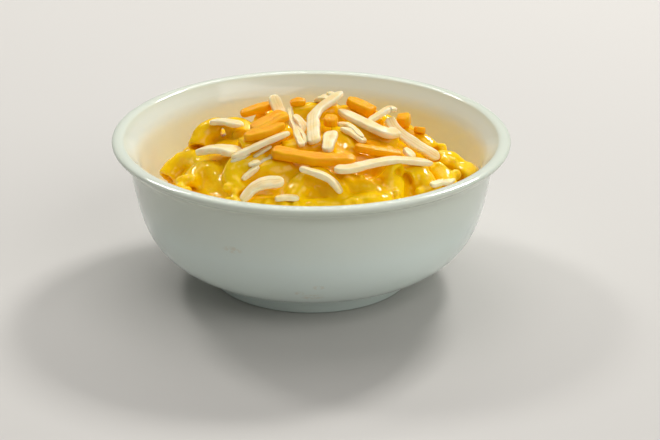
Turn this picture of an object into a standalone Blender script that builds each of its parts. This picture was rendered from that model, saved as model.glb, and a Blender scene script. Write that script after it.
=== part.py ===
"""Macaroni and cheese in a small footed porcelain bowl.

The bowl is one turned shell with a rolled rim and a foot ring.  The macaroni
is one fused heap of sauced elbows that fills the bowl and stands above its
rim, and every large shred of white and orange cheese lies on it as a bar of
its own.  Lengths are in millimetres until each piece is scaled to metres.
The origin is the centre of the foot, on the table.
"""
import math
import random

import bmesh
import bpy
import numpy as np
from mathutils import Vector
from mathutils.bvhtree import BVHTree

MM = 0.001
GAP = 0.3

# Bowl
RIM_RADIUS = 70.0
RIM_HEIGHT = 53.0
BEAD_WIDTH = 4.6
BEAD_RISE = 1.1
NECK_RADIUS = 64.2
NECK_HEIGHT = 45.0
WALL = 3.8
MOUTH_FLARE = 2.4
BELLY_SPAN = 60.0
BELLY_DEPTH = 41.3
BELLY_POWER = 4.0
BELLY_DRAFT = 0.16
FOOT_OUTER = 36.4
FOOT_INNER = 33.2
FOOT_RECESS = 3.6
WELL_FLOOR = 8.0
BOWL_SIDES = 48

# Heap: a lopsided mound, fullest in front of the bowl's middle
MOUND_MIDDLE = (0.0, -10.0)
MOUND_REACH = (57.0, 54.0)
MOUND_SQUARENESS = 2.4
MOUND_TOP = 10.0
MOUND_BED = -22.0
MOUND_POWER = 2.9
FIELD_HALF = 61.0
FIELD_STEP = 1.25
PILE_DEPTH = 13.0
SAUCE_DEPTH = 4.5
HEAP_KEEP = 0.095

# Elbow macaroni in its sauce
TUBE_RADIUS = 4.9
ELBOW_STEPS = 10
FUSE = 0.9
FILL_REACH = 60.0
FILL_TRIES = 5000
FILL_PROUD = 1.0
FILL_SEED = 11

# Elbows that lie open on the front, each by three points of its middle line
OPEN_ELBOWS = (
    ((-50.5, -6, 38), (-43, -4, 44), (-36, -16, 45)),
    ((-41, -30, 43.5), (-35.5, -23, 47.5), (-28.5, -34, 44.5)),
    ((-23, -41, 46), (-25.5, -33, 52), (-16, -31, 53)),
    ((-25, -33, 51), (-16, -34, 52), (-7.5, -32, 53)),
    ((-6.5, -46, 45.5), (1.5, -39, 51.5), (10, -46, 45.5)),
    ((-13, -47, 44), (-1, -49, 44), (11, -48, 44)),
    ((-27.5, -45, 42), (-20, -46, 43.5), (-11, -47, 43.5)),
    ((11, -38, 49), (17, -40.5, 47.5), (25, -43.5, 44.5)),
    ((13, -47, 44), (19, -47, 45.5), (25, -47, 44)),
    ((27.5, -35, 48), (27, -39, 46.5), (26.5, -43, 43)),
    ((32, -32, 48), (37, -29.5, 47.5), (40, -36, 43)),
    ((24, -29, 50), (31, -26, 49.3), (38, -23, 46)),
    ((41, -17, 44.5), (45, -19.5, 43.5), (47, -26, 41)),
    ((44, -9, 45), (49, -6, 44), (52, -9, 40)),
    ((50.5, -14, 41.5), (54, -7, 40.5), (55.5, 0, 37.5)),
    ((-39.5, -2, 48), (-37, 2, 52), (-32, 3, 53)),
    ((-30, 2, 53), (-25, 0, 54.5), (-23.5, -7, 53)),
    ((6.5, -14, 57), (12, -17, 56), (13.5, -24, 53.5)),
    ((13, -8, 57.5), (21, -13, 56.5), (28, -12, 53.5)),
    ((-24, -22, 55), (-16, -19, 56.5), (-8, -14, 57.5)),
    ((-9, -27, 55.5), (-1, -25.5, 57), (7, -24, 56.5)),
    ((10, 6, 57), (17, 3, 56.8), (23, -1, 55)),
    ((-6, 4, 57.5), (1, 5, 58.5), (8, 7, 57.5)),
    ((30, 4, 51.5), (36.5, 1, 49.5), (42, -3, 46.5)),
)

# Hollows that the sauce has run out of: middle, radius
HOLLOWS = (((18, -34, 57.5), 8.0), ((1.5, -46, 54.5), 5.0))

# Cheese shreds, lowest first: name, points of the middle line, width, thickness
SHREDS = (
    ("orange_shred_01", ((-25, 2, 60.5), (-18.5, 3, 62.5), (-12.5, 4.5, 63.5)), 3.6, 2.8),
    ("orange_shred_02", ((-23, -23.5, 60.8), (-16, -23, 62.3), (-9, -19.5, 64)), 3.6, 2.8),
    ("orange_shred_03", ((-20.5, -18.5, 62.3), (-14.5, -14, 64), (-9.5, -8.5, 64.8)), 4.2, 3.0),
    ("orange_shred_04", ((-13.5, -33.5, 60.5), (1, -37, 59.5), (15, -36, 58.5)), 4.6, 3.4),
    ("orange_shred_05", ((12.5, 4, 65.5), (17.5, 2, 63.8), (22, -1, 62.4)), 4.6, 3.4),
    ("orange_shred_06", ((32, -1, 58.5), (32.5, 3, 58.5), (33, 8, 57)), 4.6, 4.4),
    ("orange_shred_07", ((6.5, -15, 64), (6.7, -11.5, 64), (6.8, -8, 64)), 4.6, 3.6),
    ("orange_shred_08", ((-7.5, 3.5, 63.5), (-5, 4, 64), (-2, 4, 64)), 3.4, 2.8),
    ("orange_shred_09", ((36.5, -3, 56), (38, -1, 55), (39.5, 1, 54)), 2.8, 2.4),
    ("orange_shred_10", ((14.5, -27.5, 61.8), (23, -27, 60), (31, -25, 57.8)), 3.6, 2.8),
    ("white_shred_01", ((-38.5, -16.5, 54), (-33, -21.5, 57.3), (-28, -26.5, 58.8)), 4.8, 2.0),
    ("white_shred_02", ((-27, -33, 57), (-16.5, -30, 61), (-7.5, -25, 63.3)), 3.6, 2.0),
    ("white_shred_03", ((-35, 0, 58.6), (-29.5, -4, 60), (-24, -11, 61.3)), 4.0, 1.8),
    ("white_shred_04", ((28.5, -5, 60), (35, -8, 56.3), (45, -4, 48)), 3.8, 2.0),
    ("white_shred_05", ((9.5, -2, 64), (20.5, -15.5, 62.5), (26, -18, 61), (30, -12.5, 60)), 4.4, 2.4),
    ("white_shred_06", ((7.5, -42.5, 57.2), (13, -42.5, 57.3), (20, -39, 58.6), (30, -32.5, 56.9),
     (41.5, -25, 52.4)), 3.8, 2.0),
    ("white_shred_07", ((-4, -43.5, 59), (5.5, -46, 56.5), (10, -48.5, 52)), 3.6, 2.0),
    ("white_shred_08", ((-23, -49.5, 48), (-19.5, -46.5, 51), (-15, -45.5, 53), (-9, -46, 53.5)), 4.0, 2.0),
    ("white_shred_09", ((-12, -50.3, 51), (-8, -50.3, 51.5), (-4, -50, 51)), 3.2, 1.8),
    ("white_shred_10", ((10, -17, 64), (14, -19.5, 63.5), (18, -25, 62)), 3.2, 1.8),
    ("white_shred_11", ((31.5, -21.5, 58.6), (33, -22.5, 57.6), (34.8, -24.5, 56.2)), 3.2, 1.8),
    ("white_shred_12", ((-7, -1.5, 64.3), (-5.5, -8, 64.5), (-3.5, -17, 64.3)), 2.4, 1.6),
    ("white_shred_13", ((-5.5, -20.5, 64), (-4.5, -26, 63), (-3, -31.5, 62)), 2.2, 1.6),
    ("white_shred_17", ((2, 2, 66), (6, 4, 65.5), (9.5, 5.5, 65)), 3.4, 2.0),
    ("white_shred_14", ((11, 2, 68.5), (1.5, -8.5, 65.5), (0.8, -20, 64.5), (1.2, -31.8, 62)), 4.2, 2.0),
    ("white_shred_15", ((7, -23, 64), (6, -29, 63), (5.2, -35, 61.5)), 4.0, 2.2),
    ("white_shred_16", ((22, -10, 62.6), (25.5, -6.5, 63.2), (28, -3, 64), (30, -6, 64)), 2.8, 1.6),
    ("white_shred_18", ((-13.5, 2, 69.5), (-12, 1, 67), (-10, -0.5, 64.8)), 3.6, 1.6),
    ("white_shred_19", ((-23, -41, 54.5), (-20, -39, 56.5), (-17.5, -37.5, 58)), 2.6, 1.6),
    ("white_shred_20", ((-21, -37, 58), (-19, -36.5, 58.7), (-17, -36.5, 59)), 2.6, 1.6),
    ("white_shred_21", ((40, -39, 49), (44, -34.5, 47.8), (48, -28, 46)), 2.4, 1.6),
    ("white_shred_22", ((5.5, 6, 69), (7.5, 7, 68.5), (9, 8, 67.5)), 3.0, 1.8),
)
SHRED_STEPS = 8
SHRED_GAP = 0.45
SHRED_GIVE = 0.7
TAPER = 0.82

# Colours: base colour, roughness
PORCELAIN = ((0.74, 0.77, 0.70), 0.18)
SAUCED_PASTA = ((0.82, 0.50, 0.035), 0.22)
WHITE_CHEESE = ((0.86, 0.78, 0.52), 0.45)
ORANGE_CHEESE = ((0.92, 0.36, 0.012), 0.40)


def make_material(name, finish):
    """A plain opaque material of one colour and roughness."""
    colour, roughness = finish
    material = bpy.data.materials.new(name)
    material.use_nodes = True
    shader = material.node_tree.nodes["Principled BSDF"]
    shader.inputs["Base Color"].default_value = (*colour, 1.0)
    shader.inputs["Roughness"].default_value = roughness
    shader.inputs["Metallic"].default_value = 0.0
    return material


def add_piece(name, bm, material):
    """Turn a bmesh in millimetres into an object in metres."""
    bmesh.ops.recalc_face_normals(bm, faces=bm.faces)
    bmesh.ops.scale(bm, vec=(MM, MM, MM), verts=bm.verts)
    mesh = bpy.data.meshes.new(name)
    bm.to_mesh(mesh)
    bm.free()
    mesh.materials.append(material)
    mesh.shade_smooth()
    mesh.set_sharp_from_angle(angle=math.radians(40))
    piece = bpy.data.objects.new(name, mesh)
    bpy.context.collection.objects.link(piece)
    return piece


def turn(profile):
    """Turn an outline of (radius, height) points that starts and ends on the axis."""
    bm = bmesh.new()
    points = [bm.verts.new((radius, 0.0, height)) for radius, height in profile]
    edges = [bm.edges.new(pair) for pair in zip(points, points[1:])]
    bmesh.ops.spin(bm, geom=points + edges, axis=(0, 0, 1), cent=(0, 0, 0),
                   angle=math.tau, steps=BOWL_SIDES, use_merge=True)
    bmesh.ops.remove_doubles(bm, verts=bm.verts, dist=0.01)
    return bm


def belly_radius(height, top_radius, depth, power):
    """A superellipse belly with a slight draft, measured below the neck."""
    below = NECK_HEIGHT - height
    curve = (1.0 - (below / depth) ** power) ** (1.0 / power)
    return top_radius - BELLY_SPAN * (1.0 - curve) - BELLY_DRAFT * below


def outer_radius(height):
    """Outside of the bowl's wall."""
    return belly_radius(height, NECK_RADIUS, BELLY_DEPTH, BELLY_POWER)


def inner_radius(height):
    """Inside of the bowl's wall, which thickens towards the foot."""
    depth = NECK_HEIGHT - WELL_FLOOR
    return belly_radius(height, NECK_RADIUS - WALL, depth, BELLY_POWER - 0.4)


def arc(middle, radius, start, end, steps):
    """Points on an arc, in degrees from straight outwards."""
    points = []
    for i in range(steps + 1):
        angle = math.radians(start + (end - start) * i / steps)
        points.append((middle[0] + radius[0] * math.cos(angle),
                       middle[1] + radius[1] * math.sin(angle)))
    return points


def bowl_outside():
    """Foot recess, foot ring, belly, neck and the underside of the rim bead."""
    belly = [5.8, 7.0, 9.0, 12.0, 16.5, 22.5, 30.0, 38.0, NECK_HEIGHT]
    return (
        [(0.0, FOOT_RECESS), (FOOT_INNER - 1.6, FOOT_RECESS), (FOOT_INNER, 0.5)]
        + [(FOOT_INNER + 0.5, 0.0), (FOOT_OUTER - 0.7, 0.0), (FOOT_OUTER, 0.7)]
        + [(FOOT_OUTER + 0.1, 4.6)]
        + [(outer_radius(height), height) for height in belly]
        + [(NECK_RADIUS + 0.8, NECK_HEIGHT + 2.2), (NECK_RADIUS + 2.6, NECK_HEIGHT + 4.0)]
        + [(RIM_RADIUS - 0.7, RIM_HEIGHT - 2.5), (RIM_RADIUS - 0.15, RIM_HEIGHT - 1.7)]
    )


def bead_top():
    """The flattened round of the rim, from outside to inside."""
    half = BEAD_WIDTH / 2
    middle = (RIM_RADIUS - half, RIM_HEIGHT - BEAD_RISE)
    return arc(middle, (half, BEAD_RISE), 0, 165, 6)


def bowl_inside(clearance):
    """The well, from the neck down to its floor, drawn in by a clearance."""
    heights = [49.6, NECK_HEIGHT, 37.0, 29.5, 22.5, 17.0, 13.2, 10.7, 9.2, 8.35]
    well = [(inner_radius(min(height, NECK_HEIGHT)) - clearance, height + clearance)
            for height in heights]
    well[0] = (well[0][0] + MOUTH_FLARE, well[0][1])
    return well + [(0.0, WELL_FLOOR + clearance)]


def make_bowl():
    """Turned porcelain bowl with a rolled rim on a foot ring."""
    bm = turn(bowl_outside() + bead_top() + bowl_inside(0.0))
    return add_piece("bowl", bm, make_material("porcelain", PORCELAIN))


def make_heap_mould():
    """A hidden cutter: the well less its clearance, open to above the rim."""
    mouth = RIM_HEIGHT + 30.0
    bm = turn([(0.0, mouth), (NECK_RADIUS, mouth)] + bowl_inside(GAP))
    mould = add_piece("heap_mould", bm, make_material("mould", PORCELAIN))
    mould.hide_render = True
    mould.display_type = "WIRE"
    return mould


def mound_height(x, y):
    """The even mound that the elbows fill out to."""
    across = np.abs(x - MOUND_MIDDLE[0]) / MOUND_REACH[0]
    along = np.abs(y - MOUND_MIDDLE[1]) / MOUND_REACH[1]
    away = (across ** MOUND_SQUARENESS + along ** MOUND_SQUARENESS) ** (1 / MOUND_SQUARENESS)
    fall = (MOUND_TOP - MOUND_BED) * away ** MOUND_POWER
    return RIM_HEIGHT + np.maximum(MOUND_TOP - fall, MOUND_BED)


def bent_through(start, middle, end):
    """A smooth bend through three points."""
    start, middle, end = Vector(start), Vector(middle), Vector(end)
    corner = 2 * middle - (start + end) / 2
    steps = [i / ELBOW_STEPS for i in range(ELBOW_STEPS + 1)]
    return [start * (1 - t) ** 2 + corner * 2 * t * (1 - t) + end * t ** 2 for t in steps]


def elbow_axis(x, y, heading, lean, bend, length):
    """The curved middle line of one elbow, following the mound's slope."""
    along = Vector((math.cos(math.radians(heading)), math.sin(math.radians(heading)), 0))
    side = Vector((-along.y, along.x, 0))
    reach = 6.0
    ahead = mound_height(x + reach * along.x, y + reach * along.y)
    behind = mound_height(x - reach * along.x, y - reach * along.y)
    along.z = float(ahead - behind) / (2 * reach)
    along.normalize()
    down = side.cross(along)
    lean = math.radians(lean)
    inward = side * math.cos(lean) + down * math.sin(lean)
    radius = length / math.radians(bend)
    axis = []
    for i in range(ELBOW_STEPS + 1):
        angle = math.radians(bend) * (i / ELBOW_STEPS - 0.5)
        axis.append(along * radius * math.sin(angle) + inward * radius * (1 - math.cos(angle)))
    return [point + Vector((x, y, 0)) for point in axis]


class HeapField:
    """Heights over the bowl, raised elbow by elbow."""

    def __init__(self):
        self.cells = 2 * round(FIELD_HALF / FIELD_STEP)
        line = np.linspace(-FIELD_HALF, FIELD_HALF, self.cells + 1)
        self.x, self.y = np.meshgrid(line, line, indexing="ij")
        self.z = mound_height(self.x, self.y) - PILE_DEPTH

    def window(self, point, radius):
        """The slices of cells within a radius of a point."""
        slices = []
        for value in point[:2]:
            first = int((value + FIELD_HALF - radius) / FIELD_STEP)
            first = min(max(first, 0), self.cells - 1)
            slices.append(slice(first, first + 2 + round(2 * radius / FIELD_STEP)))
        return tuple(slices)

    def support(self, axis):
        """How high an elbow's middle line rests on what is already there."""
        return max(self.z[self.window(p, TUBE_RADIUS / 2)].max() - p.z for p in axis)

    def cover(self, axis):
        """Raise the field to the tops of an elbow's tube."""
        for point in axis:
            cells = self.window(point, TUBE_RADIUS)
            away = np.hypot(self.x[cells] - point.x, self.y[cells] - point.y)
            top = point.z + np.sqrt(np.maximum(TUBE_RADIUS ** 2 - away ** 2, 0.0))
            inside = away < TUBE_RADIUS
            self.z[cells] = np.where(inside, np.maximum(self.z[cells], top), self.z[cells])

    def pour(self):
        """Fill the gaps with sauce, but for the hollows it has run out of."""
        self.z = np.maximum(self.z, mound_height(self.x, self.y) - SAUCE_DEPTH)
        for (x, y, z), radius in HOLLOWS:
            away = np.hypot(self.x - x, self.y - y)
            bottom = z - np.sqrt(np.maximum(radius ** 2 - away ** 2, 0.0))
            self.z = np.where(away < radius, np.minimum(self.z, bottom), self.z)

    def settle(self):
        """Let the sauce round off the hollows between neighbouring cells."""
        z = np.pad(self.z, 1, mode="edge")
        around = z[:-2, 1:-1] + z[2:, 1:-1] + z[1:-1, :-2] + z[1:-1, 2:]
        self.z = self.z * 0.5 + around * 0.125


def pile_elbows(field):
    """Lay the open front elbows, then drop others wherever the mound has room."""
    for points in OPEN_ELBOWS:
        field.cover(bent_through(*points))
    dice = random.Random(FILL_SEED)
    for _ in range(FILL_TRIES):
        angle = dice.uniform(0, math.tau)
        reach = FILL_REACH * math.sqrt(dice.random())
        x, y = reach * math.cos(angle), reach * math.sin(angle)
        axis = elbow_axis(x, y, dice.uniform(0, 360), dice.uniform(0, 60),
                          dice.uniform(60, 120), dice.uniform(20, 28))
        rest = Vector((0, 0, field.support(axis) + TUBE_RADIUS * FUSE))
        axis = [point + rest for point in axis]
        proud = max(point.z + TUBE_RADIUS - mound_height(point.x, point.y) for point in axis)
        if proud < FILL_PROUD:
            field.cover(axis)


def make_heap(mould):
    """The fused heap: elbows and sauce on a solid core, cut to the well."""
    field = HeapField()
    pile_elbows(field)
    field.pour()
    field.settle()
    bm = bmesh.new()
    bmesh.ops.create_grid(bm, x_segments=field.cells, y_segments=field.cells, size=FIELD_HALF)
    top_faces = list(bm.faces)
    for vert in bm.verts:
        column = round((vert.co.x + FIELD_HALF) / FIELD_STEP)
        row = round((vert.co.y + FIELD_HALF) / FIELD_STEP)
        vert.co.z = field.z[column, row]
    under = bmesh.ops.extrude_face_region(bm, geom=top_faces)["geom"]
    for vert in under:
        if isinstance(vert, bmesh.types.BMVert):
            vert.co.z = 0.0
    heap = add_piece("macaroni", bm, make_material("sauced_pasta", SAUCED_PASTA))
    thin = heap.modifiers.new("thin", "DECIMATE")
    thin.ratio = HEAP_KEEP
    cut = heap.modifiers.new("cut", "BOOLEAN")
    cut.operation = "INTERSECT"
    cut.object = mould
    finished = heap.evaluated_get(bpy.context.evaluated_depsgraph_get())
    heap.data = bpy.data.meshes.new_from_object(finished)
    heap.modifiers.clear()
    return heap


def solid_tree(piece):
    """A search tree of a piece as it is built, in metres."""
    return BVHTree.FromObject(piece, bpy.context.evaluated_depsgraph_get())


def ground_height(trees, x, y):
    """Height in millimetres of the topmost surface at a plan point."""
    start = Vector((x, y, 200.0)) * MM
    hits = [tree.ray_cast(start, Vector((0, 0, -1)))[0] for tree in trees]
    return max((hit.z / MM for hit in hits if hit), default=RIM_HEIGHT + MOUND_BED)


def line_at(points, t):
    """A spot on the smooth line through every point, t running from 0 to 1."""
    points = [Vector(point) for point in points]
    padded = [2 * points[0] - points[1]] + points + [2 * points[-1] - points[-2]]
    spans = len(points) - 1
    i = min(int(t * spans), spans - 1)
    t = t * spans - i
    a, b, c, d = padded[i:i + 4]
    curve = 2 * b + (c - a) * t + (2 * a - 5 * b + 4 * c - d) * t ** 2
    return (curve + (3 * b - a - 3 * c + d) * t ** 3) / 2


def shred_line(trees, points, width, thickness):
    """The middle line of a shred, let down until it rests on what lies under it."""
    line = [line_at(points, i / SHRED_STEPS) for i in range(SHRED_STEPS + 1)]
    clear = thickness / 2 + SHRED_GAP
    around = [Vector((math.cos(a), math.sin(a), 0)) * (width / 2 + SHRED_GAP)
              for a in np.linspace(0, math.tau, 8, endpoint=False)]
    floor = []
    for i in range(SHRED_STEPS + 1):
        beside = [min(max((i + step) / SHRED_STEPS, 0), 1) for step in (-0.9, -0.45, 0, 0.45, 0.9)]
        middle = [line_at(points, t) for t in beside]
        spots = middle + [point + offset for point in middle for offset in around]
        floor.append(max(ground_height(trees, spot.x, spot.y) for spot in spots) + clear)
    drop = max(low - point.z for low, point in zip(floor, line)) - SHRED_GIVE
    return [Vector((point.x, point.y, max(point.z + drop, low))) for low, point in zip(floor, line)]


def make_shred(name, trees, points, width, thickness, material):
    """One shred of cheese: a four-sided bar, a little narrower on top."""
    line = shred_line(trees, points, width, thickness)
    bm = bmesh.new()
    rings = []
    for i, point in enumerate(line):
        ahead = line[min(i + 1, SHRED_STEPS)] - line[max(i - 1, 0)]
        side = Vector((ahead.y, -ahead.x, 0)).normalized()
        up = side.cross(ahead).normalized()
        end = 0.75 if i in (0, SHRED_STEPS) else 1.0
        half = side * width / 2 * end
        rise = up * thickness / 2
        corners = (-half - rise, half - rise, half * TAPER + rise, -half * TAPER + rise)
        rings.append([bm.verts.new(point + corner) for corner in corners])
    bm.faces.new(rings[0])
    bm.faces.new(rings[-1])
    for a, b in zip(rings, rings[1:]):
        for i in range(4):
            bm.faces.new((a[i], a[i - 1], b[i - 1], b[i]))
    return add_piece(name, bm, material)


def make_shreds(heap):
    """Every large shred, each laid on the heap and on the shreds before it."""
    cheeses = {"orange": make_material("orange_cheese", ORANGE_CHEESE),
               "white": make_material("white_cheese", WHITE_CHEESE)}
    trees = [solid_tree(heap)]
    for name, points, width, thickness in SHREDS:
        cheese = cheeses[name.split("_")[0]]
        shred = make_shred(name, trees, points, width, thickness, cheese)
        trees.append(solid_tree(shred))


def build():
    """Clear the scene and make every piece in its place."""
    for leftover in list(bpy.data.objects):
        bpy.data.objects.remove(leftover)
    make_bowl()
    heap = make_heap(make_heap_mould())
    make_shreds(heap)


build()
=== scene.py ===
import math
import random

import bmesh
import bpy
import numpy as np
from mathutils import Matrix, Vector, noise
from mathutils.bvhtree import BVHTree


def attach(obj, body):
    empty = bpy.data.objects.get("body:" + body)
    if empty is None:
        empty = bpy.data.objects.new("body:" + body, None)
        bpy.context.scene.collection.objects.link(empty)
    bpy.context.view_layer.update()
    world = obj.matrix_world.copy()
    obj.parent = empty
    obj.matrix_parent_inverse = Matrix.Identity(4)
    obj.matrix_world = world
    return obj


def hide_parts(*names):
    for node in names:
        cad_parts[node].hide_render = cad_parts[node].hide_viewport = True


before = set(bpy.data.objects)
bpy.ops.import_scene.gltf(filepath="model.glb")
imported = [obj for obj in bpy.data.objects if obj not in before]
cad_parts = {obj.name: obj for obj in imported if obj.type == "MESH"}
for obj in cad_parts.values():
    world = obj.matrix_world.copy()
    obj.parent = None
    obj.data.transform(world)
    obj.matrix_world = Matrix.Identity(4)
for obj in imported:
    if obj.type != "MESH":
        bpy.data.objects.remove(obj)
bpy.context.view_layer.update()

# ---------------------------------------------------------------------------
# The table, the camera and the studio light.  The table is a plain pale flat
# sheet; the light is a large box overhead, two small square lamps behind the bowl,
# one on each side, a thin strip behind them and a broad box in front on the right.
MM = 0.001
CAMERA_PLACE = (0.0, -0.65533, 0.29906)
CAMERA_AIM = (0.00669, 0.0, 0.01972)
CAMERA_ROLL = 0.3
CAMERA_LENS = 108.41
TABLE_COLOUR = (0.57, 0.555, 0.53)
ROOM_COLOUR = (1.0, 0.985, 0.965)
ROOM_STRENGTH = 0.18


class Wire:
    """A node's output that ordinary arithmetic can be written with."""

    def __init__(self, finish, socket):
        self.finish = finish
        self.socket = socket

    def __add__(self, other):
        return self.finish.math("ADD", self, other)

    def __sub__(self, other):
        return self.finish.math("SUBTRACT", self, other)

    def __rsub__(self, other):
        return self.finish.math("SUBTRACT", other, self)

    def __mul__(self, other):
        return self.finish.math("MULTIPLY", self, other)

    def __truediv__(self, other):
        return self.finish.math("DIVIDE", self, other)

    def __pow__(self, other):
        return self.finish.math("POWER", self, other)

    def __lt__(self, other):
        return self.finish.math("LESS_THAN", self, other)

    def __gt__(self, other):
        return self.finish.math("GREATER_THAN", self, other)

    __radd__ = __add__
    __rmul__ = __mul__


class Finish:
    """One material while it is wired up around its Principled shader."""

    def __init__(self, name, **settings):
        self.material = bpy.data.materials.new(name)
        self.material.use_nodes = True
        self.tree = self.material.node_tree
        self.shader = self.tree.nodes["Principled BSDF"]
        for socket, value in settings.items():
            self.put(self.shader.inputs[socket.replace("_", " ")], value)

    def put(self, socket, value):
        """Link a wire to a socket, or set a plain value on it."""
        if isinstance(value, Wire):
            self.tree.links.new(value.socket, socket)
        elif isinstance(value, tuple) and len(value) == 3 and socket.type == "RGBA":
            socket.default_value = (*value, 1.0)
        else:
            socket.default_value = value

    def node(self, kind, settings=None, output=0, **inputs):
        """Any node: its type, its settings, and the values or wires of its sockets."""
        node = self.tree.nodes.new(kind)
        for name, value in (settings or {}).items():
            if name == "stops":
                ramp = node.color_ramp.elements
                while len(ramp) < len(value):
                    ramp.new(0.5)
                for stop, (place, colour) in zip(ramp, value):
                    stop.position = place
                    stop.color = (*colour, 1.0)
            else:
                setattr(node, name, value)
        for name, value in inputs.items():
            name = name.replace("_", " ")
            key = int(name[1:]) if name[0] == "s" and name[1:].isdigit() else name
            self.put(node.inputs[key], value)
        return Wire(self, node.outputs[output])

    def math(self, operation, a, b=0.0, clamp=False):
        """One Math node on two numbers."""
        return self.node("ShaderNodeMath", {"operation": operation, "use_clamp": clamp}, s0=a, s1=b)

    def place(self):
        """The piece's own coordinates, in metres."""
        return self.node("ShaderNodeTexCoord", output="Object")

    def part(self, axis):
        """One of the piece's own coordinates, as a number."""
        return self.node("ShaderNodeSeparateXYZ", output=axis, Vector=self.place())

    def clouds(self, size, detail=2.0, roughness=0.5, stretch=(1, 1, 1)):
        """Soft noise from 0 to 1 whose patches are about size metres across."""
        where = self.node("ShaderNodeMapping", Vector=self.place(), Scale=stretch)
        return self.node("ShaderNodeTexNoise", output="Fac", Vector=where, Scale=1.0 / size,
                         Detail=detail, Roughness=roughness)

    def attribute(self, name):
        """A number stored on the piece's points."""
        return self.node("ShaderNodeAttribute", {"attribute_name": name}, output="Fac")

    def ramp(self, wire, low, high):
        """A number from 0 at low to 1 at high, eased at both ends."""
        return self.node("ShaderNodeMapRange", {"interpolation_type": "SMOOTHSTEP"},
                         Value=wire, From_Min=low, From_Max=high)

    def mix(self, share, first, second):
        """A colour between two colours."""
        return self.node("ShaderNodeMix", {"data_type": "RGBA"}, output=2,
                         s0=share, s6=first, s7=second)

    def colour(self, wire):
        """Give the surface its colour."""
        self.put(self.shader.inputs["Base Color"], wire)

    def roughen(self, wire):
        """Give the surface its roughness."""
        self.put(self.shader.inputs["Roughness"], wire)

    def bump(self, *layers):
        """Relief from (height wire, depth in metres) layers."""
        normal = None
        for height, depth in layers:
            inputs = {"Height": height, "Distance": depth, "Strength": 1.0}
            if normal:
                inputs["Normal"] = normal
            normal = self.node("ShaderNodeBump", **inputs)
        self.put(self.shader.inputs["Normal"], normal)


def add_piece(name, bm, material, smooth=True):
    """Turn a bmesh in millimetres into an object in metres."""
    bmesh.ops.scale(bm, vec=(MM, MM, MM), verts=bm.verts)
    mesh = bpy.data.meshes.new(name)
    bm.to_mesh(mesh)
    bm.free()
    mesh.materials.append(material)
    if smooth:
        mesh.shade_smooth()
    piece = bpy.data.objects.new(name, mesh)
    bpy.context.collection.objects.link(piece)
    return piece


def aim(thing, place, target, roll=0.0):
    """Stand a camera or a light at a place, looking at a target."""
    ahead = (Vector(target) - Vector(place)).normalized()
    turn = ahead.to_track_quat("-Z", "Y").to_matrix() @ Matrix.Rotation(math.radians(roll), 3, "Z")
    thing.matrix_world = Matrix.Translation(place) @ turn.to_4x4()


def soft_box(name, place, target, width, height, power, colour):
    """A rectangular studio light."""
    lamp = bpy.data.lights.new(name, "AREA")
    lamp.shape = "RECTANGLE"
    lamp.size = width
    lamp.size_y = height
    lamp.energy = power
    lamp.color = colour
    light = bpy.data.objects.new(name, lamp)
    bpy.context.collection.objects.link(light)
    aim(light, place, target)
    return light


table_bm = bmesh.new()
bmesh.ops.create_grid(table_bm, x_segments=1, y_segments=1, size=6000.0)
bmesh.ops.translate(table_bm, verts=table_bm.verts, vec=(0, 0, -0.05))
table_finish = Finish("table", Base_Color=TABLE_COLOUR, Roughness=0.75)
table = add_piece("table", table_bm, table_finish.material, smooth=False)

camera_data = bpy.data.cameras.new("camera")
camera_data.lens = CAMERA_LENS
camera_data.sensor_width = 36.0
camera_data.clip_start = 0.01
camera = bpy.data.objects.new("camera", camera_data)
bpy.context.collection.objects.link(camera)
aim(camera, CAMERA_PLACE, CAMERA_AIM, CAMERA_ROLL)
bpy.context.scene.camera = camera

room = bpy.data.worlds.new("room")
bpy.context.scene.world = room
room.use_nodes = True
room.node_tree.nodes["Background"].inputs["Color"].default_value = (*ROOM_COLOUR, 1.0)
room.node_tree.nodes["Background"].inputs["Strength"].default_value = ROOM_STRENGTH
bpy.context.scene.view_settings.view_transform = "Standard"

soft_box("top_box", (-0.1, 0.3, 1.7), (0, 0, 0.03), 1.2, 0.9, 6.0, (1.0, 0.985, 0.96))
soft_box("left_lamp", (-0.70, 0.75, 1.05), (0, 0, 0.03), 0.26, 0.26, 5.5, (1.0, 0.985, 0.96))
soft_box("right_lamp", (0.55, 0.80, 1.00), (0, 0, 0.03), 0.26, 0.26, 10.5, (1.0, 0.985, 0.96))
soft_box("back_strip", (-0.1, 1.1, 1.15), (0, 0, 0.03), 0.9, 0.05, 3.0, (1.0, 0.985, 0.96))
soft_box("front_fill", (1.3, -1.4, 1.6), (0, 0, 0.03), 2.2, 1.6, 24.0, (1.0, 0.99, 0.97))

# ---------------------------------------------------------------------------
# The bowl.  White porcelain with a faint green tint under a clear glossy
# glaze, turned in one piece with a rolled rim and a foot ring.  A few dried
# smudges of sauce are left on its outside.
RIM_RADIUS = 70.0
RIM_HEIGHT = 53.0
BEAD_WIDTH = 4.6
BEAD_RISE = 1.1
NECK_RADIUS = 64.2
NECK_HEIGHT = 45.0
WALL = 3.8
MOUTH_FLARE = 2.4
BELLY_SPAN = 60.0
BELLY_DEPTH = 41.3
BELLY_POWER = 4.0
BELLY_DRAFT = 0.16
FOOT_OUTER = 36.4
FOOT_INNER = 33.2
FOOT_RECESS = 3.6
WELL_FLOOR = 8.0
BOWL_STEPS = 144


def belly_radius(height, top_radius, depth, power):
    """A superellipse belly with a slight draft, measured below the neck."""
    below = NECK_HEIGHT - height
    curve = (1.0 - (below / depth) ** power) ** (1.0 / power)
    return top_radius - BELLY_SPAN * (1.0 - curve) - BELLY_DRAFT * below


def outer_radius(height):
    """Outside of the bowl's wall."""
    return belly_radius(height, NECK_RADIUS, BELLY_DEPTH, BELLY_POWER)


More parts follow.
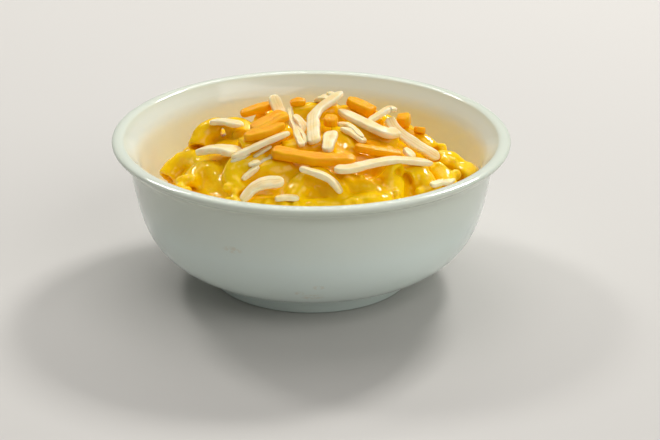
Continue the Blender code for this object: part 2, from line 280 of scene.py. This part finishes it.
def inner_radius(height):
    """Inside of the bowl's wall, up to its flared mouth."""
    depth = NECK_HEIGHT - WELL_FLOOR
    below = belly_radius(min(height, NECK_HEIGHT), NECK_RADIUS - WALL, depth, BELLY_POWER - 0.4)
    flare = min(max((height - NECK_HEIGHT) / 4.6, 0.0), 1.2)
    return below + MOUTH_FLARE * flare ** 1.5


def eased(start, end, steps, power=1.0):
    """Numbers from start up to but not including end, crowded towards start."""
    return [start + (end - start) * (i / steps) ** power for i in range(steps)]


def bowl_profile():
    """The turned outline, from under the foot round the rim to the well's floor."""
    foot = [(0.0, FOOT_RECESS), (FOOT_INNER - 1.6, FOOT_RECESS), (FOOT_INNER - 0.4, FOOT_RECESS - 0.5)]
    foot += [(FOOT_INNER, 0.8), (FOOT_INNER + 0.2, 0.2), (FOOT_INNER + 0.7, 0.0)]
    foot += [(FOOT_OUTER - 0.9, 0.0), (FOOT_OUTER - 0.3, 0.2), (FOOT_OUTER, 0.8)]
    foot += [(FOOT_OUTER + 0.1, 3.9), (FOOT_OUTER + 0.35, 4.9)]
    outside = [(outer_radius(z), z) for z in eased(5.7, NECK_HEIGHT, 30, 1.7)]
    neck = [(NECK_RADIUS, NECK_HEIGHT), (NECK_RADIUS + 0.25, NECK_HEIGHT + 1.1)]
    neck += [(NECK_RADIUS + 0.8, NECK_HEIGHT + 2.2), (NECK_RADIUS + 1.6, NECK_HEIGHT + 3.2)]
    neck += [(NECK_RADIUS + 2.7, NECK_HEIGHT + 4.1), (NECK_RADIUS + 3.9, NECK_HEIGHT + 4.8)]
    neck += [(RIM_RADIUS - 0.9, RIM_HEIGHT - 2.55), (RIM_RADIUS - 0.3, RIM_HEIGHT - 1.9)]
    half = BEAD_WIDTH / 2
    bead = []
    for i in range(13):
        angle = math.radians(-12 + 180 * i / 12)
        bead.append((RIM_RADIUS - half + half * math.cos(angle),
                     RIM_HEIGHT - BEAD_RISE + BEAD_RISE * math.sin(angle)))
    inside = [(inner_radius(z), z) for z in eased(8.3, RIM_HEIGHT - 1.9, 34, 1.7)[::-1]]
    return foot + outside + neck + bead + inside + [(0.0, WELL_FLOOR)]


bowl_bm = bmesh.new()
bowl_points = [bowl_bm.verts.new((radius, 0.0, height)) for radius, height in bowl_profile()]
bowl_edges = [bowl_bm.edges.new(pair) for pair in zip(bowl_points, bowl_points[1:])]
bmesh.ops.spin(bowl_bm, geom=bowl_points + bowl_edges, axis=(0, 0, 1), cent=(0, 0, 0),
               angle=math.tau, steps=BOWL_STEPS, use_merge=True)
bmesh.ops.remove_doubles(bowl_bm, verts=bowl_bm.verts, dist=0.001)
bmesh.ops.recalc_face_normals(bowl_bm, faces=bowl_bm.faces)

porcelain = Finish("porcelain", Roughness=0.10, IOR=1.5,
                   Subsurface_Weight=0.08, Subsurface_Radius=(0.006, 0.005, 0.004))
body_tint = porcelain.mix(porcelain.clouds(0.06), (0.680, 0.735, 0.635), (0.715, 0.765, 0.670))
SMUDGES = ((-26.0, 33.0, 3.0, 1.3), (2.5, 20.0, 2.0, 1.0), (0.5, 15.0, 3.6, 1.6), (-4.0, 17.0, 1.6, 1.0))
stain = 0.0
across = porcelain.part("X") * 1000.0
upward = porcelain.part("Z") * 1000.0
in_front = porcelain.part("Y") < 0.0
for x, z, width, height in SMUDGES:
    reach = ((across - x) / width) ** 2.0 + ((upward - z) / height) ** 2.0
    stain = (1.0 - porcelain.ramp(reach, 0.1, 1.6)) + stain
ragged = porcelain.ramp(porcelain.clouds(0.0014, 3.0), 0.35, 0.65)
out = ((porcelain.part("X") ** 2.0 + porcelain.part("Y") ** 2.0) ** 0.5) * 1000.0
# Inside the well the porcelain is painted lighter and cooler than outside, most so low down: painted light that
# brightens the inner wall and cancels the orange light the sauce throws onto it.
well = porcelain.ramp(out - upward * 0.12, 59.5, 57.5)
painted_well_light = porcelain.mix(porcelain.ramp(upward, 28.0, 50.0), (0.76, 0.86, 0.81), (0.73, 0.79, 0.73))
body_tint = porcelain.mix(well, body_tint, painted_well_light)
porcelain.colour(porcelain.mix(stain * ragged * in_front * 0.30, body_tint, (0.62, 0.50, 0.30)))
porcelain.bump((porcelain.clouds(0.035, 1.0), 0.00025), (porcelain.clouds(0.004, 1.0), 0.000008))
bowl = add_piece("bowl_glazed", bowl_bm, porcelain.material)
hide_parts("bowl")
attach(bowl, "root")

# ---------------------------------------------------------------------------
# The macaroni.  Cooked elbows, each a bent hollow tube, heaped over the bowl
# and fused by a thick smooth cheese sauce that rounds every hollow between
# them.  The open ones lie at the front; the rest are dropped where they fit.
MOUND_MIDDLE = (0.0, -10.0)
MOUND_REACH = (57.0, 54.0)
MOUND_SQUARENESS = 2.4
MOUND_TOP = 10.0
MOUND_BED = -22.0
MOUND_POWER = 2.9
FIELD_HALF = 61.0
FIELD_STEP = 1.25
PILE_DEPTH = 13.0
SAUCE_DEPTH = 5.4
TUBE_RADIUS = 4.9
ELBOW_RADIUS = 4.25
ELBOW_STEPS = 10
FUSE = 0.9
FILL_REACH = 60.0
FILL_TRIES = 5000
FILL_PROUD = 1.0
FILL_SEED = 11
TOP_TRIES = 3000
TOP_BARE = 1.6
SAUCE_VOXEL = 0.62
CURD_SEED = 3
CURD_RADIUS = (1.2, 2.2)
# Patches of curds: from and to which angle and reach, and how many
CURD_PATCHES = ((205, 245, 50, 57, 36), (245, 292, 50, 55, 12), (292, 330, 50, 56, 8),
                (-24, 2, 46, 55, 7))

# Open elbows, each by three points of its middle line, in millimetres
OPEN_ELBOWS = (
    ((-50.5, -6, 38), (-43, -4, 44), (-36, -16, 45)),
    ((-41, -30, 43.5), (-35.5, -23, 47.5), (-28.5, -34, 44.5)),
    ((-23, -41, 46), (-25.5, -33, 52), (-16, -31, 53)),
    ((-25, -33, 51), (-16, -34, 52), (-7.5, -32, 53)),
    ((-6.5, -46, 45.5), (1.5, -39, 51.5), (10, -46, 45.5)),
    ((-13, -47, 44), (-1, -49, 44), (11, -48, 44)),
    ((-27.5, -45, 42), (-20, -46, 43.5), (-11, -47, 43.5)),
    ((11, -38, 49), (17, -40.5, 47.5), (25, -43.5, 44.5)),
    ((13, -47, 44), (19, -47, 45.5), (25, -47, 44)),
    ((27.5, -35, 48), (27, -39, 46.5), (26.5, -43, 43)),
    ((32, -32, 48), (37, -29.5, 47.5), (40, -36, 43)),
    ((24, -29, 50), (31, -26, 49.3), (38, -23, 46)),
    ((41, -17, 44.5), (45, -19.5, 43.5), (47, -26, 41)),
    ((44, -9, 45), (49, -6, 44), (52, -9, 40)),
    ((50.5, -14, 41.5), (54, -7, 40.5), (55.5, 0, 37.5)),
    ((-39.5, -2, 48), (-37, 2, 52), (-32, 3, 53)),
    ((-30, 2, 53), (-25, 0, 54.5), (-23.5, -7, 53)),
    ((6.5, -14, 57), (12, -17, 56), (13.5, -24, 53.5)),
    ((13, -8, 57.5), (21, -13, 56.5), (28, -12, 53.5)),
    ((-24, -22, 55), (-16, -19, 56.5), (-8, -14, 57.5)),
    ((-9, -27, 55.5), (-1, -25.5, 57), (7, -24, 56.5)),
    ((10, 6, 57), (17, 3, 56.8), (23, -1, 55)),
    ((-6, 4, 57.5), (1, 5, 58.5), (8, 7, 57.5)),
    ((30, 4, 51.5), (36.5, 1, 49.5), (42, -3, 46.5)),
)

# A hollow that the sauce has run out of: its middle and radius
HOLLOWS = (((18, -34, 57.5), 8.0), ((1.5, -46, 54.5), 5.0))


def mound_height(x, y):
    """The even mound that the elbows fill out to."""
    across = np.abs(x - MOUND_MIDDLE[0]) / MOUND_REACH[0]
    along = np.abs(y - MOUND_MIDDLE[1]) / MOUND_REACH[1]
    away = (across ** MOUND_SQUARENESS + along ** MOUND_SQUARENESS) ** (1 / MOUND_SQUARENESS)
    fall = (MOUND_TOP - MOUND_BED) * away ** MOUND_POWER
    return RIM_HEIGHT + np.maximum(MOUND_TOP - fall, MOUND_BED)


def bent_through(start, middle, end):
    """A smooth bend through three points."""
    start, middle, end = Vector(start), Vector(middle), Vector(end)
    corner = 2 * middle - (start + end) / 2
    steps = [i / ELBOW_STEPS for i in range(ELBOW_STEPS + 1)]
    return [start * (1 - t) ** 2 + corner * 2 * t * (1 - t) + end * t ** 2 for t in steps]


def elbow_axis(x, y, heading, lean, bend, length):
    """The curved middle line of one elbow, following the mound's slope."""
    along = Vector((math.cos(math.radians(heading)), math.sin(math.radians(heading)), 0))
    side = Vector((-along.y, along.x, 0))
    reach = 6.0
    ahead = mound_height(x + reach * along.x, y + reach * along.y)
    behind = mound_height(x - reach * along.x, y - reach * along.y)
    along.z = float(ahead - behind) / (2 * reach)
    along.normalize()
    down = side.cross(along)
    lean = math.radians(lean)
    inward = side * math.cos(lean) + down * math.sin(lean)
    radius = length / math.radians(bend)
    axis = []
    for i in range(ELBOW_STEPS + 1):
        angle = math.radians(bend) * (i / ELBOW_STEPS - 0.5)
        axis.append(along * radius * math.sin(angle) + inward * radius * (1 - math.cos(angle)))
    return [point + Vector((x, y, 0)) for point in axis]


class HeapField:
    """Heights over the bowl, raised elbow by elbow."""

    def __init__(self):
        self.cells = 2 * round(FIELD_HALF / FIELD_STEP)
        line = np.linspace(-FIELD_HALF, FIELD_HALF, self.cells + 1)
        self.x, self.y = np.meshgrid(line, line, indexing="ij")
        self.z = mound_height(self.x, self.y) - PILE_DEPTH

    def window(self, point, radius):
        """The slices of cells within a radius of a point."""
        slices = []
        for value in point[:2]:
            first = int((value + FIELD_HALF - radius) / FIELD_STEP)
            first = min(max(first, 0), self.cells - 1)
            slices.append(slice(first, first + 2 + round(2 * radius / FIELD_STEP)))
        return tuple(slices)

    def support(self, axis):
        """How high an elbow's middle line rests on what is already there."""
        return max(self.z[self.window(p, TUBE_RADIUS / 2)].max() - p.z for p in axis)

    def cover(self, axis):
        """Raise the field to the tops of an elbow's tube."""
        for point in axis:
            cells = self.window(point, TUBE_RADIUS)
            away = np.hypot(self.x[cells] - point.x, self.y[cells] - point.y)
            top = point.z + np.sqrt(np.maximum(TUBE_RADIUS ** 2 - away ** 2, 0.0))
            inside = away < TUBE_RADIUS
            self.z[cells] = np.where(inside, np.maximum(self.z[cells], top), self.z[cells])

    def height(self, x, y):
        """How high the heap stands at a place."""
        return float(self.z[self.window((x, y), 0.0)].max())


def pile_elbows(field):
    """The middle lines of all elbows: the open ones, then those dropped into the gaps."""
    lines = []
    for points in OPEN_ELBOWS:
        lines.append(bent_through(*points))
        field.cover(lines[-1])
    dice = random.Random(FILL_SEED)
    for _ in range(FILL_TRIES):
        angle = dice.uniform(0, math.tau)
        reach = FILL_REACH * math.sqrt(dice.random())
        x, y = reach * math.cos(angle), reach * math.sin(angle)
        axis = elbow_axis(x, y, dice.uniform(0, 360), dice.uniform(0, 60),
                          dice.uniform(60, 120), dice.uniform(20, 28))
        rest = Vector((0, 0, field.support(axis) + TUBE_RADIUS * FUSE))
        axis = [point + rest for point in axis]
        proud = max(point.z + TUBE_RADIUS - mound_height(point.x, point.y) for point in axis)
        if proud < FILL_PROUD:
            field.cover(axis)
            lines.append(axis)
    for _ in range(TOP_TRIES):
        angle = dice.uniform(0, math.tau)
        reach = FILL_REACH * math.sqrt(dice.random())
        x, y = reach * math.cos(angle), reach * math.sin(angle)
        axis = elbow_axis(x, y, dice.uniform(0, 360), dice.uniform(0, 50),
                          dice.uniform(70, 130), dice.uniform(17, 25))
        top = float(mound_height(x, y)) + dice.uniform(-1.6, 0.2)
        axis = [point + Vector((0, 0, top - TUBE_RADIUS)) for point in axis]
        if field.support(axis) < TUBE_RADIUS - TOP_BARE:
            field.cover(axis)
            lines.append(axis)
    return lines


def straight_tube():
    """One elbow before it is bent: a closed bar from x = 0 to x = 1, hollow at each end."""
    bm = bmesh.new()
    lie_down = Matrix.Translation((0.5, 0, 0)) @ Matrix.Rotation(math.pi / 2, 4, "Y")
    bmesh.ops.create_cone(bm, cap_ends=True, segments=14, radius1=1.0, radius2=1.0, depth=1.0,
                          matrix=lie_down)
    caps = [face for face in bm.faces if len(face.verts) > 4]
    bmesh.ops.inset_individual(bm, faces=caps, thickness=0.14, depth=0.02)
    bmesh.ops.inset_individual(bm, faces=caps, thickness=0.26, depth=0.0)
    bmesh.ops.inset_individual(bm, faces=caps, thickness=0.10, depth=-0.10)
    lengthwise = [edge for edge in bm.edges if abs(edge.verts[0].co.x - edge.verts[1].co.x) > 0.5]
    bmesh.ops.subdivide_edges(bm, edges=lengthwise, cuts=ELBOW_STEPS, use_grid_fill=True)
    return bm


def lay_along(bm, line, section):
    """Bend a straight bar onto a line, wide and deep as the section says at each place."""
    places = []
    side = Vector((line[1].y - line[0].y, line[0].x - line[1].x, 0))
    for i, point in enumerate(line):
        ahead = (line[min(i + 1, len(line) - 1)] - line[max(i - 1, 0)]).normalized()
        side = (side - ahead * side.dot(ahead)).normalized()
        places.append((point, side, side.cross(ahead)))
    for vert in bm.verts:
        t = min(max(vert.co.x, 0.0), 1.0) * (len(line) - 1)
        i = min(int(t), len(line) - 2)
        point, side, up = (a.lerp(b, t - i) for a, b in zip(places[i], places[i + 1]))
        wide, deep = section(vert.co.x, point)
        vert.co = point + side * vert.co.y * wide + up * vert.co.z * deep


def join(whole, bm):
    """Add one piece's mesh to a larger one."""
    mesh = bpy.data.meshes.new("joined")
    bm.to_mesh(mesh)
    bm.free()
    whole.from_mesh(mesh)
    bpy.data.meshes.remove(mesh)


def curds(bm, field):
    """Small lumps of cheese and broken pasta that the sauce has gathered near the rim."""
    dice = random.Random(CURD_SEED)
    for first, last, near, far, count in CURD_PATCHES:
        for _ in range(count):
            angle = math.radians(dice.uniform(first, last))
            reach = dice.uniform(near, far)
            x, y = reach * math.cos(angle), reach * math.sin(angle)
            radius = dice.uniform(*CURD_RADIUS)
            top = max(field.height(x, y) - TUBE_RADIUS + ELBOW_RADIUS,
                      float(mound_height(x, y)) - SAUCE_DEPTH)
            place = Matrix.Translation((x, y, top - radius * dice.uniform(0.4, 0.9)))
            bmesh.ops.create_icosphere(bm, subdivisions=2, radius=radius, matrix=place)


def sauce_core(bm):
    """The bed of sauce and hidden pasta that the open elbows are sunk in."""
    cells = 60
    grid = bmesh.ops.create_grid(bm, x_segments=cells, y_segments=cells, size=FIELD_HALF)
    faces = list({face for vert in grid["verts"] for face in vert.link_faces})
    for vert in grid["verts"]:
        vert.co.z = float(mound_height(vert.co.x, vert.co.y)) - SAUCE_DEPTH
    under = bmesh.ops.extrude_face_region(bm, geom=faces)["geom"]
    for vert in under:
        if isinstance(vert, bmesh.types.BMVert):
            vert.co.z = RIM_HEIGHT + MOUND_BED - 14.0


heap_field = HeapField()
elbow_lines = pile_elbows(heap_field)
heap_bm = bmesh.new()
one_elbow = straight_tube()
for line in elbow_lines:
    elbow = one_elbow.copy()
    lay_along(elbow, line, lambda t, point: (ELBOW_RADIUS, ELBOW_RADIUS))
    join(heap_bm, elbow)
one_elbow.free()
curds(heap_bm, heap_field)
sauce_core(heap_bm)
bmesh.ops.recalc_face_normals(heap_bm, faces=heap_bm.faces)


def fused(bm, voxel, rounds, keep):
    """Melt overlapping solids into one skin and let it round off, in millimetres."""
    draft = add_piece("draft", bm, table_finish.material)
    remesh = draft.modifiers.new("melt", "REMESH")
    remesh.mode = "VOXEL"
    remesh.voxel_size = voxel * MM
    soften = draft.modifiers.new("soften", "SMOOTH")
    soften.factor = 0.5
    soften.iterations = rounds
    thin = draft.modifiers.new("thin", "DECIMATE")
    thin.ratio = keep
    finished = draft.evaluated_get(bpy.context.evaluated_depsgraph_get())
    melted = bmesh.new()
    melted.from_mesh(finished.to_mesh())
    bpy.data.objects.remove(draft)
    bmesh.ops.scale(melted, vec=(1 / MM, 1 / MM, 1 / MM), verts=melted.verts)
    return melted


heap_bm = fused(heap_bm, SAUCE_VOXEL, 3, 0.6)
lumps = noise.noise
for vert in heap_bm.verts:
    point = vert.co
    for (x, y, z), radius in HOLLOWS:
        away = math.hypot(point.x - x, point.y - y)
        if away < radius:
            point.z = min(point.z, max(z - math.sqrt(radius ** 2 - away ** 2), point.z - 7.0))
    swell = 0.35 * lumps(point * 0.22) + 0.16 * lumps(point * 0.6)
    vert.co = point + vert.normal * swell
    wall = inner_radius(min(max(vert.co.z, 12.0), RIM_HEIGHT - 1.9)) - 0.05
    reach = math.hypot(vert.co.x, vert.co.y)
    if reach > wall:
        vert.co.x *= wall / reach
        vert.co.y *= wall / reach


def store_depth(bm, name, spread):
    """Store how far each point lies below the heap's average height around it."""
    points = np.array([vert.co for vert in bm.verts])
    cells = (points[:, :2] + FIELD_HALF).round().astype(int)
    line = np.arange(0, 2 * FIELD_HALF + 1) - FIELD_HALF
    top = np.array(mound_height(*np.meshgrid(line, line, indexing="ij"))) - 2.0
    np.maximum.at(top, (cells[:, 0], cells[:, 1]), points[:, 2])
    for _ in range(spread):
        wide = np.pad(top, 1, mode="edge")
        top = (wide[:-2, 1:-1] + wide[2:, 1:-1] + wide[1:-1, :-2] + wide[1:-1, 2:]) / 4
    layer = bm.verts.layers.float.new(name)
    for vert, cell in zip(bm.verts, cells):
        vert[layer] = float(top[cell[0], cell[1]]) - vert.co.z


store_depth(heap_bm, "sunken", 16)
sauce = Finish("cheese_sauce", Roughness=0.08, IOR=1.4, Specular_IOR_Level=0.42,
               Subsurface_Weight=0.25, Subsurface_Radius=(0.003, 0.0016, 0.0002),
               Subsurface_Scale=1.0)
thick = sauce.mix(sauce.clouds(0.012), (0.99, 0.53, 0.0005), (1.0, 0.675, 0.001))
# Where the sauce lies below the heap around it, in the creases between the elbows, it is painted a darker amber:
# painted shade.
deep = sauce.ramp(sauce.attribute("sunken") + sauce.clouds(0.003, 2.0) * 1.5, 2.6, 7.2)
sauce.colour(sauce.mix(deep, thick, (0.96, 0.46, 0.0005)))
sauce.bump((sauce.clouds(0.0035, 2.0), 0.00022), (sauce.clouds(0.0009, 1.0), 0.00004))
heap = add_piece("macaroni_in_sauce", heap_bm, sauce.material)
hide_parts("macaroni")
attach(heap, "root")

# ---------------------------------------------------------------------------
# The shreds.  White and orange cheese off a coarse grater: waxy bars with
# softened edges, which keep the bend they were cut with.  Each is swept along
# a smooth line and let down until it rests on what lies under it.
SHRED_STATIONS = 24
SHRED_GIVE = 0.7

# Shreds: name, points of the middle line, width, thickness, in millimetres
SHREDS = (
    ("orange_01", ((-25, 2, 60.5), (-18.5, 3, 62.5), (-12.5, 4.5, 63.5)), 3.6, 2.8),
    ("orange_02", ((-23, -23.5, 60.8), (-16, -23, 62.3), (-9, -19.5, 64)), 4.4, 2.8),
    ("orange_03", ((-20.5, -18.5, 62.3), (-14.5, -14, 64), (-9.5, -8.5, 64.8)), 5.0, 3.0),
    ("orange_04", ((-13.5, -33.5, 60.5), (1, -37, 59.5), (15, -36, 58.5)), 4.6, 3.4),
    ("orange_05", ((12.5, 4, 65.5), (17.5, 2, 63.8), (22, -1, 62.4)), 4.6, 3.4),
    ("orange_06", ((32, -1, 58.5), (32.5, 3, 58.5), (33, 8, 57)), 4.6, 4.4),
    ("orange_07", ((6.5, -15, 64), (6.7, -11.5, 64), (6.8, -8, 64)), 4.6, 3.6),
    ("orange_08", ((-7.5, 3.5, 63.5), (-5, 4, 64), (-2, 4, 64)), 3.4, 2.8),
    ("orange_09", ((36.5, -3, 56), (38, -1, 55), (39.5, 1, 54)), 2.8, 2.4),
    ("orange_10", ((14.5, -27.5, 61.8), (23, -27, 60), (31, -25, 57.8)), 3.6, 2.8),
    ("white_01", ((-39, -16.5, 52.8), (-34.5, -19.5, 55), (-29.5, -22.5, 56.3), (-24.5, -27.5, 56.3)), 6.2, 2.6),
    ("white_02", ((-27, -33, 57), (-16.5, -30, 61), (-7.5, -25, 63.3)), 3.6, 2.0),
    ("white_03", ((-35, 0, 58.6), (-29.5, -4, 60), (-24, -11, 61.3)), 4.0, 1.8),
    ("white_04", ((26.5, -5, 63), (29.5, -8, 60), (35, -9.5, 56), (44.5, -12, 50.5)), 3.8, 2.0),
    ("white_05", ((9.5, -2, 64), (20.5, -15.5, 62.5), (26, -18, 61), (30, -12.5, 60)), 4.4, 2.4),
    ("white_06", ((7.5, -42.5, 57.2), (13, -42.5, 57.3), (20, -39, 58.6), (30, -32.5, 56.9),
     (41.5, -25, 52.4)), 3.8, 2.0),
    ("white_07", ((-4, -43.5, 59), (5.5, -46, 56.5), (10, -48.5, 52)), 3.6, 2.0),
    ("white_08", ((-23, -49.5, 48), (-19.5, -46.5, 51), (-15, -45.5, 53), (-9, -46, 53.5)), 4.0, 2.0),
    ("white_09", ((-12, -50.3, 51), (-8, -50.3, 51.5), (-4, -50, 51)), 3.2, 1.8),
    ("white_10", ((10, -17, 64), (14, -19.5, 63.5), (18, -25, 62)), 3.2, 1.8),
    ("white_11", ((31.5, -21.5, 58.6), (33, -22.5, 57.6), (34.8, -24.5, 56.2)), 3.2, 1.8),
    ("white_12", ((-7, -1.5, 64.3), (-5.5, -8, 64.5), (-3.5, -17, 64.3)), 2.4, 1.6),
    ("white_13", ((-5.5, -20.5, 64), (-4.5, -26, 63), (-3, -31.5, 62)), 2.2, 1.6),
    ("white_17", ((1, 6, 65.5), (3.5, 5, 67.2), (6.5, 3, 67), (8.5, 1, 66)), 3.0, 1.8),
    ("white_14", ((11, 2, 68.5), (1.5, -8.5, 65.5), (0.8, -20, 64.5), (1.2, -31.8, 62)), 4.2, 2.0),
    ("white_15", ((7, -23, 64), (6, -29, 63), (5.2, -35, 61.5)), 4.0, 2.2),
    ("white_16", ((19.5, -10, 62.5), (22.5, -8, 64), (25.5, -5.5, 65), (27.5, -3.5, 65.5), (29, -5.5, 65)), 2.8, 1.6),
    ("white_18", ((-13.8, 4, 71), (-12, 2, 67.5), (-9.5, -1, 62.5)), 5.0, 1.2),
    ("white_19", ((-23, -41, 54.5), (-20, -39, 56.5), (-17.5, -37.5, 58)), 2.6, 1.6),
    ("white_20", ((-21, -37, 58), (-19, -36.5, 58.7), (-17, -36.5, 59)), 2.6, 1.6),
    ("white_21", ((40, -39, 49), (44, -34.5, 47.8), (48, -28, 46)), 2.4, 1.6),
    ("white_22", ((5.5, 6, 69), (7.5, 7, 68.5), (9, 8, 67.5)), 3.0, 1.8),
)

# Finer shreds and scraps among them: kind, points, width, thickness
SCRAPS = (
    ("orange", ((-20, -14, 62), (-14, -10, 64.5), (-8.5, -5, 66)), 3.0, 2.2),
    ("orange", ((-21.5, -21, 61), (-15, -18, 63), (-8, -13, 65)), 3.4, 2.4),
    ("orange", ((-16.5, -25, 61), (-11.5, -25, 62.5), (-7.5, -22, 64.5)), 2.6, 2.0),
    ("orange", ((18, -20, 61), (23, -22, 60), (28, -23, 59)), 4.0, 2.6),
    ("orange", ((0, -10, 62.5), (-1.5, -18, 60), (-3.5, -26, 59.5)), 1.4, 1.0),
    ("white", ((-8, 3, 65.5), (-7, -4, 63.5), (-5, -12, 61.5)), 1.4, 1.0),
    ("white", ((-6, -2, 64.5), (-3, -8, 63), (-2, -13, 61.5)), 3.0, 1.3),
    ("white", ((-4.5, -18, 61.5), (-2.5, -24, 61), (-2, -30, 60.5)), 1.4, 1.0),
    ("white", ((-9.5, -31, 62.5), (-11.5, -32, 61.5), (-14.5, -31, 61)), 2.2, 1.2),
    ("white", ((9, -12, 62.5), (12, -13, 63), (14, -16, 63), (17.5, -24, 62)), 2.2, 1.3),
    ("white", ((-19.5, -33, 56.5), (-16.5, -31, 58), (-13.5, -30, 59.5)), 1.6, 1.0),
    ("white", ((-17.5, -36, 57), (-15.5, -34, 57.5), (-13, -33, 58)), 1.4, 0.9),
    ("white", ((44, -30, 46), (46.5, -28.5, 46), (49, -26, 46)), 2.0, 1.1),
    ("white", ((-27, -34.5, 51), (-23.5, -33.5, 54), (-20.5, -31, 56)), 1.4, 0.9),
    ("white", ((2.5, 7, 68), (5, 8.5, 69.5), (8, 8, 68.5)), 2.4, 1.2),
)


def through(points, stations):
    """A smooth line of evenly spaced stations through every point."""
    points = [Vector(point) for point in points]
    padded = [2 * points[0] - points[1]] + points + [2 * points[-1] - points[-2]]
    spans = len(points) - 1
    line = []
    for k in range(stations + 1):
        i = min(k * spans // stations, spans - 1)
        t = k * spans / stations - i
        a, b, c, d = padded[i:i + 4]
        curve = 2 * b + (c - a) * t + (2 * a - 5 * b + 4 * c - d) * t ** 2
        line.append((curve + (3 * b - a - 3 * c + d) * t ** 3) / 2)
    return line


def let_down(line, grounds, width, thickness):
    """Lower a line until it rests on the ground, and bend it up over what it meets."""
    floor = []
    for i, point in enumerate(line):
        ahead = line[min(i + 1, len(line) - 1)] - line[max(i - 1, 0)]
        side = Vector((ahead.y, -ahead.x, 0)).normalized() * width * 0.4
        highest = -100.0
        for spot in (point - side, point, point + side):
            for ground in grounds:
                hit = ground.ray_cast(Vector((spot.x, spot.y, 120.0)), Vector((0, 0, -1)))[0]
                highest = max(highest, hit.z if hit else highest)
        floor.append(highest + thickness / 2 - SHRED_GIVE)
    drop = min(max(low - point.z for low, point in zip(floor, line)), 0.0)
    heights = [max(point.z + drop, low) for low, point in zip(floor, line)]
    for _ in range(12):
        relaxed = [(a + b) / 2 for a, b in zip(heights, heights[2:])]
        heights[1:-1] = [max(low, z) for low, z in zip(floor[1:-1], relaxed)]
    return [Vector((point.x, point.y, z)) for point, z in zip(line, heights)]


def straight_shred():
    """A shred before it is bent: a bar from x = 0 to x = 1 with softened long edges."""
    bm = bmesh.new()
    fit = Matrix.Translation((0.5, 0, 0)) @ Matrix.Diagonal((1, 2, 2, 1))
    bmesh.ops.create_cube(bm, size=1.0, matrix=fit)
    for cuts in (0, SHRED_STATIONS - 1):
        lengthwise = [edge for edge in bm.edges
                      if abs(edge.verts[0].co.x - edge.verts[1].co.x) > 0.5]
        if cuts:
            bmesh.ops.subdivide_edges(bm, edges=lengthwise, cuts=cuts, use_grid_fill=True)
        else:
            bmesh.ops.bevel(bm, geom=lengthwise, offset=0.42, segments=2, profile=0.5,
                            material=-1, affect="EDGES")
    return bm


def grate(bar, line, width, thickness, dice):
    """Bend a bar onto a line, with an uneven, slightly ragged section and torn ends."""
    bm = bar.copy()
    layer = bm.verts.layers.float.new("across")
    for vert in bm.verts:
        vert[layer] = vert.co.y
    length = sum((b - a).length for a, b in zip(line, line[1:]))
    seed = Vector((dice.uniform(0, 90), dice.uniform(0, 90), 0))
    torn = (dice.uniform(1.0, 5.0), dice.uniform(1.0, 5.0))

    def section(t, point):
        end = min(t * length / torn[0], (1 - t) * length / torn[1], 1.0)
        blunt = 0.22 + 0.78 * math.sqrt(1 - (1 - end) ** 2)
        wide = width / 2 * blunt * (1 + 0.22 * noise.noise(seed + point * 0.22))
        deep = thickness / 2 * (0.4 + 0.6 * blunt) * (1 + 0.2 * noise.noise(seed - point * 0.3))
        return wide, deep

    lay_along(bm, line, section)
    middle = line[len(line) // 2]
    turn = Matrix.Rotation(dice.uniform(-0.22, 0.22), 3, (line[-1] - line[0]).normalized())
    bmesh.ops.rotate(bm, cent=middle, matrix=turn, verts=bm.verts)
    for vert in bm.verts:
        ragged = noise.noise(vert.co * 0.9) * 0.16 + noise.noise(vert.co * 2.2) * 0.08
        vert.co.z += ragged
        vert.co.x += noise.noise(seed + vert.co * 0.9) * 0.12
    return bm


def ground_of(piece):
    """The surface of a finished piece, in millimetres."""
    bm = bmesh.new()
    bm.from_mesh(piece.data)
    bmesh.ops.scale(bm, vec=(1 / MM, 1 / MM, 1 / MM), verts=bm.verts)
    tree = BVHTree.FromBMesh(bm)
    bm.free()
    return tree


cheeses = {}
# Each cheese has two colours of its own, mixed at random, and a paler edge colour painted along the long edges of
# each shred as a sheen.
for name, edge, light, dark in (
        ("white", (0.97, 0.90, 0.71), (0.93, 0.78, 0.46), (0.91, 0.69, 0.30)),
        ("orange", (0.94, 0.52, 0.002), (0.94, 0.43, 0.001), (0.92, 0.35, 0.0005))):
    cheese = Finish(f"{name}_cheese", Roughness=0.32, IOR=1.45, Specular_IOR_Level=0.22,
                    Subsurface_Weight=0.40, Subsurface_Radius=(0.0025, 0.0016, 0.0007),
                    Subsurface_Scale=1.0)
    body = cheese.mix(cheese.ramp(cheese.clouds(0.004, 3.0), 0.3, 0.7), light, dark)
    # Painted sheen: towards its long edges, in patches, the shred is painted the paler edge colour.
    painted_edge_sheen = cheese.ramp(cheese.math("ABSOLUTE", cheese.attribute("across")), 0.45, 1.0)
    cheese.colour(cheese.mix(painted_edge_sheen * cheese.clouds(0.0025, 2.0), body, edge))
    ridges = cheese.math("SINE", cheese.attribute("across") * 11.0 + cheese.clouds(0.003) * 5.0)
    cheese.bump((cheese.clouds(0.0018, 2.0), 0.00008), (ridges, 0.000025))
    cheeses[name] = cheese.material

grounds = [ground_of(heap)]
shred_dice = random.Random(5)
shred_bar = straight_shred()
scraps = {"orange": bmesh.new(), "white": bmesh.new()}
for name, points, width, thickness in SHREDS:
    kind, number = name.split("_")
    line = let_down(through(points, SHRED_STATIONS), grounds, width, thickness)
    shred_bm = grate(shred_bar, line, width * 1.08, thickness, shred_dice)
    shred = add_piece(f"{name}_grated", shred_bm, cheeses[kind])
    smooth = shred.modifiers.new("soften", "SUBSURF")
    smooth.levels = 1
    smooth.render_levels = 1
    grounds.append(ground_of(shred))
    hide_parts(f"{kind}_shred_{number}")
    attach(shred, "root")
for kind, points, width, thickness in SCRAPS:
    line = let_down(through(points, SHRED_STATIONS), grounds[:1], width, thickness)
    join(scraps[kind], grate(shred_bar, line, width, thickness, shred_dice))
for kind, scraps_bm in scraps.items():
    scrap = add_piece(f"{kind}_scraps", scraps_bm, cheeses[kind])
    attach(scrap, "root")
